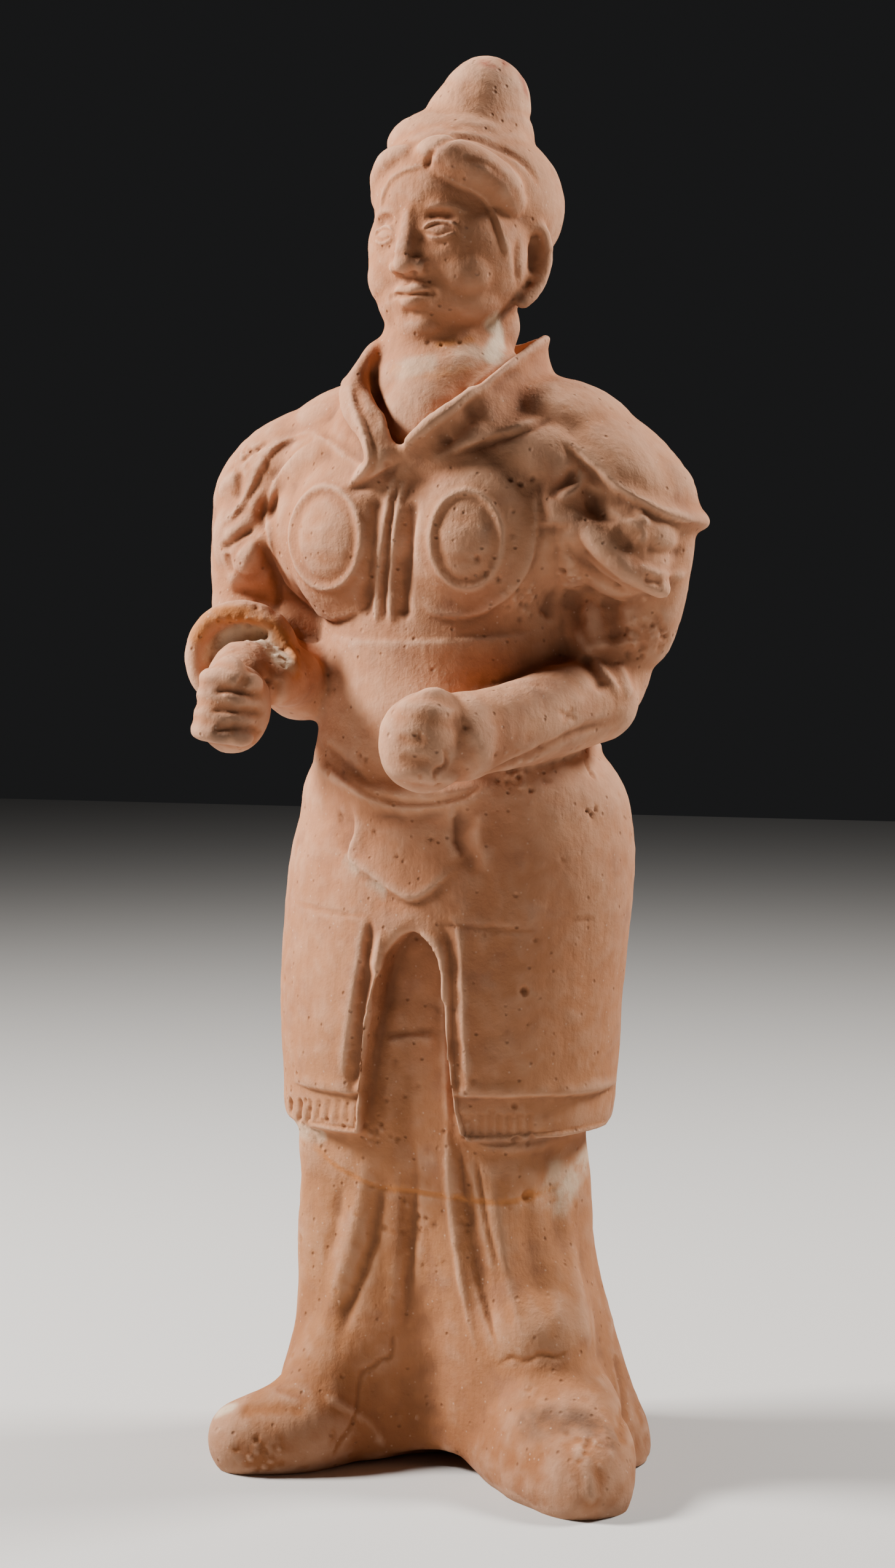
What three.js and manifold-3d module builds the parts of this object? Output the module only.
// An armored tomb guardian in fired clay: one standing figure, one solid from its soles to its topknot.
// Millimetres, +Z up. The figure faces -Y, and its own left hand is on the +X side.
// The origin is on the ground, on the upright axis of the robe.
import * as THREE from "three";
import { mergeVertices } from "three/addons/utils/BufferGeometryUtils.js";
import Module from "manifold-3d";

const wasm = await Module();
wasm.setup();

// The driving dimension. Pose, proportions and carving are counted in parts, six hundred to the height.
const figureHeight = 600;
const u = figureHeight / 600;

const fired = { color: 0xc08a66, roughness: 0.92, metalness: 0 };

const side = { right: -1, left: 1 };
const halfTurn = Math.PI;
const degree = Math.PI / 180;
const onAxisLimit = 0.5;
const weldLimit = 1e-4;

// Places and lengths written in parts become millimetres.
const spot = (x, y, z) => new THREE.Vector3(x * u, y * u, z * u);
const spots = (rows) => rows.map((row) => spot(...row));
const lengths = (row) => row.map((value) => value * u);
const stations = (rows) => rows.map(lengths);

// Moves every vertex of a geometry with place(point).
function reshape(geometry, place) {
  const position = geometry.attributes.position;
  const point = new THREE.Vector3();
  for (let i = 0; i < position.count; i++) {
    point.fromBufferAttribute(position, i);
    place(point);
    position.setXYZ(i, point.x, point.y, point.z);
  }
  return geometry;
}

// A closed geometry as a solid, with its shared vertices merged and its faces pointing out.
function solid(geometry) {
  const bare = geometry.clone();
  for (const name of Object.keys(bare.attributes)) if (name !== "position") bare.deleteAttribute(name);
  const merged = mergeVertices(bare, weldLimit);
  const vertices = merged.attributes.position.array;
  const index = merged.index.array;
  const faces = [];
  const [a, b, c] = [new THREE.Vector3(), new THREE.Vector3(), new THREE.Vector3()];
  let volume = 0;
  for (let i = 0; i < index.length; i += 3) {
    const [i0, i1, i2] = [index[i], index[i + 1], index[i + 2]];
    if (i0 === i1 || i1 === i2 || i2 === i0) continue;
    faces.push([i0, i1, i2]);
    a.fromArray(vertices, i0 * 3);
    b.fromArray(vertices, i1 * 3);
    c.fromArray(vertices, i2 * 3);
    volume += a.dot(b.cross(c));
  }
  const triVerts = new Uint32Array(faces.flatMap(([p, q, r]) => (volume < 0 ? [p, r, q] : [p, q, r])));
  return new wasm.Manifold(new wasm.Mesh({ numProp: 3, vertProperties: vertices, triVerts }));
}

const join = (pieces) => pieces.map((piece) => (piece.isBufferGeometry ? solid(piece) : piece))
  .reduce((whole, piece) => whole.add(piece));

// Values at a height, on a smooth curve through stations [height, value, value ...], lowest first.
function at(rows, height) {
  const last = rows.length - 1;
  if (height <= rows[0][0]) return rows[0].slice(1);
  if (height >= rows[last][0]) return rows[last].slice(1);
  const i = rows.findIndex((row) => row[0] > height) - 1;
  const [low, high] = [rows[i], rows[i + 1]];
  const [before, after] = [rows[Math.max(i - 1, 0)], rows[Math.min(i + 2, last)]];
  const span = high[0] - low[0];
  const t = (height - low[0]) / span;
  return low.slice(1).map((value, k) => {
    const lowSlope = ((high[k + 1] - before[k + 1]) / (high[0] - before[0])) * span;
    const highSlope = ((after[k + 1] - value) / (after[0] - low[0])) * span;
    const [t2, t3] = [t * t, t * t * t];
    return (2 * t3 - 3 * t2 + 1) * value + (t3 - 2 * t2 + t) * lowSlope
      + (3 * t2 - 2 * t3) * high[k + 1] + (t3 - t2) * highSlope;
  });
}

const bump = (distance, width) => Math.exp(-((distance / width) ** 2));

// An even step from 0 to 1 while value goes from one end to the other, up or down.
function rise(value, from, to) {
  const t = THREE.MathUtils.clamp((value - from) / (to - from), 0, 1);
  return t * t * (3 - 2 * t);
}

// A closed form of stacked oval sections. Each station is
// [height, half width, depth in front, depth behind, centre x, centre y]. relief(turn, height) pushes the
// surface out, with turn 0 at the front and +90 degrees at the figure's left. crowd packs columns at the front.
function stacked(heights, rows, columns, relief = () => 0, crowd = 0.35) {
  const profile = heights.map((_, i) => new THREE.Vector2(1, i));
  profile.unshift(new THREE.Vector2(0, 0));
  profile.push(new THREE.Vector2(0, heights.length - 1));
  return reshape(new THREE.LatheGeometry(profile, columns), (p) => {
    const height = heights[Math.round(p.y)];
    const [half, front, behind, cx, cy] = at(rows, height);
    if (Math.hypot(p.x, p.z) < onAxisLimit) return p.set(cx, cy, height);
    const even = Math.atan2(p.x, p.z);
    const turn = even - crowd * Math.sin(even);
    const depth = Math.cos(turn) > 0 ? front : behind;
    const out = relief(turn, height);
    return p.set(cx + (half + out) * Math.sin(turn), cy - (depth + out) * Math.cos(turn), height);
  });
}

// Where the front of stacked sections lies at x and height: its y.
function frontOf(rows, x, height) {
  const [half, front, , cx, cy] = at(rows, height);
  return cy - front * Math.sqrt(Math.max(0, 1 - ((x - cx) / half) ** 2));
}

// A tube through points with a radius at each, round at both ends; flat thins it along lean.
function limb(points, radii, options = {}) {
  const { columns = 6, rows = 4, flat = 1, lean = new THREE.Vector3(0, 0, 1), caps = [0.3, 1] } = options;
  const curve = new THREE.CatmullRomCurve3(points, false, "centripetal");
  const length = curve.getLength();
  const [first, last] = [radii[0], radii[radii.length - 1]];
  const start = caps.map((share) => share * Math.min(first, length * 0.45));
  const end = caps.map((share) => length - share * Math.min(last, length * 0.45)).reverse();
  const even = (i) => THREE.MathUtils.lerp(start.at(-1), end[0], (i + 1) / rows);
  const between = Array.from({ length: rows - 1 }, (_, i) => even(i));
  const places = [...start, ...between, ...end];
  const profile = places.map((_, i) => new THREE.Vector2(1, i));
  profile.unshift(new THREE.Vector2(0, -1));
  profile.push(new THREE.Vector2(0, places.length));
  return reshape(new THREE.LatheGeometry(profile, columns), (p) => {
    const row = Math.round(p.y);
    const along = row < 0 ? 0 : row >= places.length ? length : places[row];
    const centre = curve.getPointAt(along / length);
    if (Math.hypot(p.x, p.z) < onAxisLimit) return p.copy(centre);
    const share = (along / length) * (radii.length - 1);
    const k = Math.min(Math.floor(share), radii.length - 2);
    const [lowEnd, highEnd] = [Math.min(along / first, 1), Math.min((length - along) / last, 1)];
    const round = Math.sqrt(1 - (1 - lowEnd) ** 2) * Math.sqrt(1 - (1 - highEnd) ** 2);
    const radius = THREE.MathUtils.lerp(radii[k], radii[k + 1], share - k) * Math.max(round, 0.05);
    const tangent = curve.getTangentAt(along / length);
    const across = new THREE.Vector3().crossVectors(lean, tangent).normalize();
    const over = new THREE.Vector3().crossVectors(tangent, across);
    const [offAcross, offOver] = [radius * p.x, radius * flat * p.z];
    return p.copy(centre).addScaledVector(across, offAcross).addScaledVector(over, offOver);
  });
}

// An oval lump: its centre, its three radii, and turns about x, y and z in degrees.
function egg(centre, [rx, ry, rz], [tx, ty, tz] = [0, 0, 0], columns = 8, rows = 6) {
  return new THREE.SphereGeometry(1, columns, rows)
    .rotateX(halfTurn / 2)
    .scale(rx * u, ry * u, rz * u)
    .rotateX(tx * degree)
    .rotateY(ty * degree)
    .rotateZ(tz * degree)
    .translate(centre.x, centre.y, centre.z);
}

// A flat outline in x and z, drawn as a Shape, made a plate from y = near to y = far.
function plate(outline, near, far, curveSegments = 4) {
  return new THREE.ExtrudeGeometry(outline, { depth: far - near, bevelEnabled: false, curveSegments })
    .rotateX(halfTurn / 2)
    .translate(0, far, 0);
}

// The lower robe: two leg columns under one cloth, hollowed in front, flaring to the ground.
const robe = {
  rings: [0, 15, 45, 85, 130, 187],
  hollow: 24,
  sections: stations([
    [0, 84, 60, 66, 0, 4],
    [14, 81, 58, 64, 0, 3],
    [30, 76, 56, 62, -1.5, 2],
    [51, 69, 54, 58, -1, 1],
    [72, 65.5, 52, 55, -3, 0],
    [94, 63.5, 50, 52, -5, 0],
    [115, 62.5, 49, 50, -5, 0],
    [136, 62, 52, 50, -6, 0],
    [187, 62, 49.5, 50, -3, 0],
  ]),
  // [turn at the top, turn at the ground, top, foot, width in degrees, height]
  folds: [
    [-52, -66, 150, 10, 9, 4.2],
    [-31, -46, 138, 34, 4, -2.6],
    [-20, -34, 146, 26, 5, 2.6],
    [14, 27, 146, 26, 3.5, -3.2],
    [21, 31, 140, 70, 3, -2.4],
    [40, 48, 150, 10, 11, 3.4],
    [64, 74, 138, 20, 5, -2],
    [104, 112, 130, 0, 10, 1.8],
    [140, 150, 130, 0, 11, 2.8],
    [178, 182, 130, 0, 11, 2.4],
    [-142, -150, 130, 0, 11, 2.8],
    [-104, -112, 130, 0, 10, 2.4],
  ],
};

function robeRelief(turn, height) {
  const front = bump(turn, 24 * degree) * rise(height, 190 * u, 0) * robe.hollow * u;
  return robe.folds.reduce((sum, [above, below, top, foot, width, high]) => {
    const share = THREE.MathUtils.clamp((top * u - height) / ((top - foot) * u), 0, 1);
    const middle = THREE.MathUtils.lerp(above, below, share) * degree;
    const away = Math.abs(THREE.MathUtils.euclideanModulo(turn - middle + halfTurn, 2 * halfTurn) - halfTurn);
    const fade = rise(height, (foot - 18) * u, (foot + 14) * u) * rise(height, (top + 18) * u, (top - 10) * u);
    return sum + bump(away, width * degree) * high * u * fade;
  }, -front);
}

const robeForm = () => stacked(lengths(robe.rings), robe.sections, 36, robeRelief, 0.5);

// The skirt of armour: two broad flaps over a kilt, open in front as a tall arch, hemmed with a fringe.
const skirt = {
  rings: [142, 158, 161, 208, 256, 285, 302],
  sections: stations([
    [142, 70, 57.5, 57.5, -4.5, 1],
    [158, 71, 58.5, 58.5, -4, 1],
    [160, 73.5, 61, 61, -3.6, 1],
    [178, 74.6, 62, 61, -2.8, 1],
    [199, 75.2, 62, 61, -2, 1],
    [220, 75.7, 61, 61, 0, 1],
    [252, 76.2, 59.5, 59, 2.8, 1],
    [273, 73.5, 58, 56, 3.6, 1],
    [284, 71.4, 57.5, 54, 3.5, 0],
    [295, 66.5, 56, 50, 3, 0],
    [302, 60, 53, 46, 2, 0],
  ]),
  arch: { top: 229, shoulder: 212, middle: 3.5, hemHalf: 24, shoulderHalf: 13, floor: -43.5 },
};

const skirtForm = () => stacked(lengths(skirt.rings), skirt.sections, 32, () => 0, 0.1);

// The tall arch between the flaps, as an outline in x and z.
function archOutline(grow = 0) {
  const { top, shoulder, middle, hemHalf, shoulderHalf } = skirt.arch;
  const outline = new THREE.Shape();
  const [left, right] = [middle - shoulderHalf - grow, middle + shoulderHalf + grow];
  outline.moveTo((middle - hemHalf - grow) * u, 120 * u);
  outline.lineTo((middle + hemHalf + grow) * u, 120 * u);
  outline.lineTo(right * u, shoulder * u);
  outline.quadraticCurveTo((right - 1) * u, (top + grow) * u, middle * u, (top + grow) * u);
  outline.quadraticCurveTo((left + 1) * u, (top + grow) * u, left * u, shoulder * u);
  outline.closePath();
  return outline;
}

// The sunk border beside the arch that parts each flap from its rim. top and foot are [x, z] of its middle.
const borders = [
  { top: [-14, 232], foot: [-26, 163], width: 7.5, turn: -15 },
  { top: [19, 236], foot: [28.5, 163], width: 4, turn: 18 },
];

function borderCut({ top, foot, width, turn }) {
  const middle = spot((top[0] + foot[0]) / 2, 0, (top[1] + foot[1]) / 2);
  const length = Math.hypot(top[0] - foot[0], top[1] - foot[1]) * u;
  const tilt = Math.atan2(top[0] - foot[0], top[1] - foot[1]);
  const depth = 14 * u;
  const floor = frontOf(skirt.sections, middle.x, middle.z) + 2.6 * u;
  return new THREE.BoxGeometry(width * u, depth, length)
    .rotateY(tilt)
    .rotateZ(turn * degree)
    .translate(middle.x, floor - depth / 2, middle.z);
}

// Fringe strokes: shallow grooves cut by slim wedges round the hem, in front of each flap.
function fringeCuts() {
  const strokes = [];
  const runs = [{ from: -62, to: -28, count: 5 }, { from: 29, to: 56, count: 4 }];
  for (const { from, to, count } of runs) {
    for (let i = 0; i < count; i++) {
      const turn = (from + ((to - from) * i) / (count - 1)) * degree;
      const [half, front, , cx, cy] = at(skirt.sections, 151 * u);
      const stroke = new THREE.CylinderGeometry(1.3 * u, 1.3 * u, 15 * u, 4)
        .rotateX(halfTurn / 2)
        .rotateZ(turn)
        .translate(cx + (half + 0.3 * u) * Math.sin(turn), cy - (front + 0.3 * u) * Math.cos(turn), 151.5 * u);
      strokes.push(stroke);
    }
  }
  return strokes;
}

// The trunk from sash to neck, with the belt under the breast plates as a low band.
const trunk = {
  rings: [282, 310, 346, 350, 357, 361, 398, 427, 443, 466],
  sections: stations([
    [282, 60, 54, 46, -1, 0],
    [300, 60.5, 57.5, 45, -1, 0],
    [318, 57.5, 57.5, 43, -1, 0],
    [336, 57, 56, 42, -1, 0],
    [346, 57.5, 55, 42, -1, 0],
    [350, 59, 56.4, 43.4, -1, 0],
    [357, 59.2, 56.2, 44, -1, 0],
    [361, 58.5, 54.5, 44, -1, 0],
    [395, 69, 53, 48, 0, 0],
    [425, 76, 47, 47, 0, 2],
    [442, 68, 40, 42, 0, 3],
    [455, 44, 34, 36, -1, 1],
    [466, 28, 27, 30, -3, -3],
  ]),
};

const trunkForm = () => stacked(lengths(trunk.rings), trunk.sections, 22, () => 0, 0);

// Two round breast plates, each with a raised oval ring about a domed boss.
const breast = {
  x: { right: -31, left: 24 },
  y: -37,
  z: 393,
  plate: [33, 22.5, 38],
  ring: [16, 22.5],
  ringTube: 1.9,
  boss: [13.5, 6.5, 20],
};

function breastPlate(name) {
  const { x, y, z, plate: shell, ring, ringTube, boss } = breast;
  const lean = side[name] * 15;
  const facing = (form) => form.rotateZ(lean * degree);
  const middle = spot(x[name], y, z);
  const surface = shell[1] * u;
  const rim = facing(new THREE.TorusGeometry(1, ringTube / ring[0], 3, 15)
    .scale(ring[0] * u, ring[1] * u, ring[0] * u)
    .rotateX(halfTurn / 2)
    .translate(0, -surface + 1.6 * u, 0));
  const dome = facing(egg(spot(0, 0, 0), boss, [0, 0, 0], 10, 5).translate(0, -surface + 3.2 * u, 0));
  return join([
    egg(middle, shell, [0, 0, lean], 12, 8),
    rim.translate(middle.x, middle.y, middle.z),
    dome.translate(middle.x, middle.y, middle.z),
  ]);
}

// The two cords that run down between the breast plates.
function breastCords() {
  return [-3.4, 3.4].map((x) => limb(
    [spot(-1 + x, -55, 424), spot(-3 + x, -57, 404), spot(-6 + x, -58, 380), spot(-8 + x, -58, 356)],
    lengths([2.2, 2.4, 2.4, 2.2]),
    { columns: 5, rows: 2, lean: new THREE.Vector3(0, 1, 0) },
  ));
}

// The belly guard that hangs from the sash to a point over the arch.
function bellyGuard() {
  const [start, ...others] = [
    [-27, 290], [-21, 276], [-24, 262], [-15, 251], [4, 241], [19, 250], [28, 261], [25, 275], [30, 290],
  ].map(([x, z]) => new THREE.Vector2(x * u, z * u));
  const outline = new THREE.Shape();
  outline.moveTo(start.x, start.y);
  outline.splineThru(others);
  outline.closePath();
  return plate(outline, -60.6 * u, -45 * u, 2);
}

// The sash: a rolled edge of cloth that dips in front of the hips.
const sash = () => limb(
  spots([[-59, -14, 303], [-46, -38, 297], [-24, -53.5, 289], [2, -58, 285], [28, -53.5, 288], [52, -34, 296]]),
  lengths([2, 2.4, 3, 3, 3, 2]),
  { columns: 4, rows: 6 },
);

// The standing collar: a band round the neck that opens in a V on the chest and rolls over its rim.
const collar = {
  rim: spots([
    [0, -59, 430], [12, -56, 440], [27, -45, 452], [37, -26, 466], [41, -2, 477],
    [33, 19, 479], [14, 31, 477], [-10, 30, 476], [-27, 18, 476], [-31, -6, 477],
    [-28, -28, 471], [-29, -42, 456], [-23, -51, 443], [-10, -58, 431],
  ]),
  foot: spots([
    [6, -55, 412], [24, -54, 426], [38, -42, 436], [47, -24, 444], [50, 2, 448],
    [43, 25, 449], [20, 38, 449], [-12, 38, 449], [-40, 24, 450], [-50, -4, 450],
    [-47, -30, 445], [-42, -45, 432], [-30, -53, 420], [-16, -57, 408],
  ]),
  axis: spot(2, -6, 0),
  thickness: 3.2,
  footThickness: 14,
  roll: 3,
};

function collarForm() {
  const rim = new THREE.CatmullRomCurve3(collar.rim);
  const foot = new THREE.CatmullRomCurve3(collar.foot);
  const { axis, thickness, footThickness, roll } = collar;
  return reshape(new THREE.BoxGeometry(1, 1, 1, 22, 1, 2), (p) => {
    const along = p.x + 0.5;
    const high = p.z + 0.5;
    const point = foot.getPoint(along).lerp(rim.getPoint(along), high);
    const inward = new THREE.Vector3(axis.x - point.x, axis.y - point.y, 0).normalize();
    const rolled = Math.sin(high * halfTurn) * roll * (0.5 - p.y);
    const depth = (p.y + 0.5) * (thickness + (1 - high) * footThickness) - rolled;
    point.addScaledVector(inward, depth * u);
    if (p.y > 0) point.z -= (1 - high) * 8 * u;
    p.copy(point);
  });
}

// The neck widens into the collar as a funnel and fills its V in front.
const neck = { foot: spot(-5, -8, 436), top: spot(-3, -7, 500), footRadius: 27 * u, topRadius: 25 * u };

function neckForms() {
  const radii = [neck.footRadius, neck.topRadius];
  return [
    limb([neck.foot, neck.top], radii, { columns: 10, rows: 1, lean: new THREE.Vector3(0, 1, 0) }),
    egg(spot(0, -7, 452), [35, 36, 30], [0, 0, 0], 8, 5),
    egg(spot(1, -27, 440), [22, 21, 24], [0, 0, 0], 6, 4),
  ];
}

// Arms. Each has a sleeve, a cuff and a forearm that ends in a closed fist.
const arms = {
  right: {
    sleeve: [[-93, 0, 428], [-97, -4, 392], [-94, -11, 362], [-84, -22, 344]],
    sleeveRadii: [20, 18.5, 17, 19],
    fore: [[-83, -20, 343], [-77, -42, 342], [-71, -63, 342]],
    foreRadii: [18, 19.5, 20],
    cuff: [-72, -56, 342],
    wrist: [[-71, -52, 338], [-64, -80, 330], [-57, -98, 323]],
    wristRadii: [13.5, 13, 12],
    fist: [-57, -103, 320],
    fistSize: 0.9,
    turn: [-8, 6, -6],
  },
  left: {
    sleeve: [[88, 0, 428], [87, 2, 392], [80, 6, 358], [71, 8, 334]],
    sleeveRadii: [22, 20, 19, 17],
    fore: [[76, 10, 326], [62, -16, 322], [47, -46, 315], [32, -72, 309]],
    foreRadii: [20, 17.5, 15.5, 13.5],
    wrist: [[38, -60, 311], [28, -76, 309]],
    wristRadii: [14, 14],
    fist: [21, -84, 308],
    fistSize: 1,
    turn: [0, 8, 34],
  },
};

// A closed fist: a palm, four curled fingers across its front and a thumb on top.
function fistForm({ fist, fistSize, turn }, way) {
  const fingers = [0, 1, 2, 3].map((i) => limb(
    [spot(-12 * way, -5, 11.5 - i * 7.4), spot(0, -13.4, 12 - i * 7.6), spot(11.5 * way, -6, 11 - i * 7.2)],
    [4.6 * u, 5 * u, 4.4 * u],
    { columns: 4, rows: 2, caps: [0.6] },
  ));
  const thumb = limb(
    [spot(9 * way, 0, 15), spot(0, -9, 18), spot(-8 * way, -11, 15)],
    [5 * u, 5 * u, 4 * u],
    { columns: 4, rows: 2, caps: [0.6] },
  );
  const palm = egg(spot(0, 0, 0), [15.5, 15, 19.5], [0, 0, 0], 8, 6);
  const middle = spot(...fist);
  return [palm, thumb, ...fingers].map((form) => form
    .scale(fistSize, fistSize, fistSize)
    .rotateX(turn[0] * degree)
    .rotateY(turn[1] * degree)
    .rotateZ(turn[2] * degree)
    .translate(middle.x, middle.y, middle.z));
}

function armForm(arm, way) {
  const lean = new THREE.Vector3(0, 1, 0.2).normalize();
  const tube = (points, radii, rows) => limb(spots(points), lengths(radii), { columns: 10, rows, lean });
  return [
    tube(arm.sleeve, arm.sleeveRadii, 2),
    tube(arm.fore, arm.foreRadii, 2),
    tube(arm.wrist, arm.wristRadii, 1),
    ...fistForm(arm, way),
  ];
}

// The thick broken rim of the right sleeve, open toward the front round the wrist.
function cuffRing({ cuff }) {
  return new THREE.TorusGeometry(18.5 * u, 4.8 * u, 4, 12)
    .rotateX(halfTurn / 2)
    .rotateZ(14 * degree)
    .translate(cuff[0] * u, cuff[1] * u, cuff[2] * u);
}

// Clay that fills the angle between each arm and the trunk.
function armWebs() {
  return [
    egg(spot(-67, -8, 366), [26, 18, 42], [0, 14, 0], 7, 4),
    egg(spot(-60, -28, 331), [18, 24, 17], [0, 0, 10], 7, 4),
    egg(spot(64, 4, 352), [22, 22, 40], [0, -10, 0], 7, 4),
    egg(spot(42, -34, 316), [26, 20, 15], [0, 0, -40], 7, 4),
    limb(spots([[-58, -34, 334], [-54, -62, 332], [-50, -86, 328]]), lengths([15, 12, 7]), { rows: 2 }),
  ];
}

// Shoulder guards: a sloping cap over each shoulder, with a beast's head that swallows the sleeve below it.
const outward = (way, points) => points.map(([x, y, z]) => spot(way * x, y, z));

function shoulderCap(way) {
  const rim = limb(
    outward(way, [
      [62, -31, 421], [84, -30, 408], [102, -15, 401], [109, 4, 399], [102, 24, 401], [84, 36, 408],
    ]),
    lengths([3, 3.4, 3.8, 4, 3.8, 3]),
    { columns: 4, rows: 5 },
  );
  return [
    egg(spot(way * 74, 3, 421), [42, 34, 22], [0, way * 40, 0], 11, 7),
    egg(spot(way * 48, 3, 440), [32, 34, 18], [0, way * 18, 0], 8, 4),
    rim,
  ];
}

function beastHead(way) {
  const shape = { columns: 4, rows: 3, caps: [0.8] };
  const roll = (points, radii) => limb(outward(way, points), lengths(radii), shape);
  return [
    egg(spot(way * 82, -16, 392), [22, 20, 25], [0, way * 20, 0], 7, 5),
    roll([[68, -33, 417], [78, -36, 410], [91, -31, 401], [102, -20, 394]], [4, 4.6, 4.6, 4]),
    roll([[64, -35, 402], [75, -37, 394], [87, -32, 380], [96, -22, 372], [100, -10, 369]], [4.5, 5, 5.4, 5, 4]),
    roll([[95, -23, 386], [87, -32, 388], [83, -34, 396], [90, -31, 402]], [3.6, 3.6, 3.6, 3.4]),
  ];
}

// The head, modelled about its own middle and then turned to the figure's right. Its face is a plain, calm one.
const head = { middle: [1.5, -2.5, 536], turn: -12 };

const hairLobe = (way) => limb(
  outward(way, [[1, -32, 17], [10, -32, 18], [19, -25, 12], [27, -13, 4], [31, -3, -9]]),
  lengths([6, 9.5, 10.5, 9.5, 6]),
  { columns: 6, rows: 4 },
);

const earForm = (way) => limb(
  outward(way, [[33, -3, -17], [38, 5, -12], [39, 10, -22], [36, 6, -36], [32, -1, -45]]),
  lengths([2.4, 3.2, 3.4, 3.4, 3]),
  { columns: 5, rows: 3 },
);

function faceForms() {
  const upright = new THREE.Vector3(0, 1, 0);
  const brow = [[4, -35.5, -8], [13, -34, -5], [23, -27, -8]];
  const upperLip = [[-9.5, -32.5, -40], [0, -36.5, -39.5], [9.5, -32.5, -40]];
  const lowerLip = [[-7.5, -32, -44], [0, -35.5, -44.4], [7.5, -32, -44]];
  const bridge = [[0, -35, -8], [0, -39, -20], [0, -41.5, -30]];
  const line = (points, radii) => limb(points, lengths(radii), { columns: 4, rows: 2 });
  return [
    egg(spot(0, -4, -21), [37, 34, 37], [0, 0, 0], 12, 8),
    egg(spot(0, -12, -43), [28, 24, 16], [0, 0, 0], 9, 6),
    limb(spots(bridge), lengths([3, 3.6, 5]), { rows: 2, lean: upright }),
    ...[side.right, side.left].flatMap((way) => [
      line(outward(way, brow), [2, 2.4, 1.6]),
      egg(spot(way * 14, -31.5, -14.5), [7, 5, 3.6], [0, 0, way * 22], 6, 5),
    ]),
    line(spots(upperLip), [1.4, 2.4, 1.4]),
    line(spots(lowerLip), [1.6, 2.6, 1.6]),
  ];
}

function headForm() {
  const skull = egg(spot(0, 2, 1), [35, 40, 36.5], [0, 0, 0], 11, 7);
  const crown = egg(spot(2, 11, 1), [38.5, 40, 35], [0, 0, 0], 12, 7);
  const topknot = limb(
    spots([[2, 14, 20], [3, 15.5, 38], [6, 17.5, 52], [8.5, 19, 64]]),
    lengths([28, 21.5, 17, 15.5]),
    { columns: 10, rows: 2, lean: new THREE.Vector3(0, 1, 0), caps: [0.2, 0.8] },
  );
  const pairs = [side.right, side.left].flatMap((way) => [hairLobe(way), earForm(way)]);
  const middle = spot(...head.middle);
  return [skull, crown, topknot, ...pairs, ...faceForms()].map((form) => form
    .rotateZ(head.turn * degree)
    .translate(middle.x, middle.y, middle.z));
}

// Feet: the right one points out to the side, the left one forward and out. Soles are trimmed flat later.
const feet = {
  right: { spine: [[-34, -30, 24], [-52, -48, 16], [-70, -57, 12], [-89, -58, 9]], radii: [28, 22, 18.5, 15] },
  left: { spine: [[42, -6, 32], [58, -30, 26], [77, -53, 12], [93, -78, 6]], radii: [34, 29, 24, 16] },
};

function footForm({ spine, radii }) {
  return limb(spots(spine), lengths(radii), { columns: 10, rows: 3, caps: [0.2, 0.8] });
}

// The hollow under the hem between the feet.
const hemHollow = () => egg(spot(10, -52, 0), [34, 44, 8], [0, 0, 0], 8, 4);

function figure() {
  const kilt = solid(skirtForm())
    .subtract(solid(plate(archOutline(), -90 * u, skirt.arch.floor * u)))
    .subtract(join(borders.map(borderCut)))
    .subtract(join(fringeCuts()));
  const whole = join([
    robeForm(),
    footForm(feet.right),
    footForm(feet.left),
    kilt,
    trunkForm(),
    breastPlate("right"),
    breastPlate("left"),
    ...breastCords(),
    bellyGuard(),
    sash(),
    collarForm(),
    ...neckForms(),
    ...armForm(arms.right, side.right),
    ...armForm(arms.left, side.left),
    cuffRing(arms.right),
    ...armWebs(),
    ...shoulderCap(side.right),
    ...shoulderCap(side.left),
    ...beastHead(side.right),
    ...beastHead(side.left),
    ...headForm(),
  ]);
  const broad = 3 * figureHeight;
  const ground = new THREE.BoxGeometry(broad, broad, figureHeight).translate(0, 0, -figureHeight / 2);
  return whole.subtract(solid(ground)).subtract(solid(hemHollow()));
}

// The solid's triangles as a geometry with one normal to each face.
function geometryOf(form) {
  const mesh = form.getMesh();
  const geometry = new THREE.BufferGeometry();
  geometry.setAttribute("position", new THREE.BufferAttribute(mesh.vertProperties, 3));
  geometry.setIndex(new THREE.BufferAttribute(mesh.triVerts, 1));
  const faceted = geometry.toNonIndexed();
  faceted.computeVertexNormals();
  return faceted;
}

const guardian = new THREE.Mesh(geometryOf(figure()), new THREE.MeshStandardMaterial(fired));
guardian.name = "guardian_figure";

const group = new THREE.Group();
group.add(guardian);
export default group;
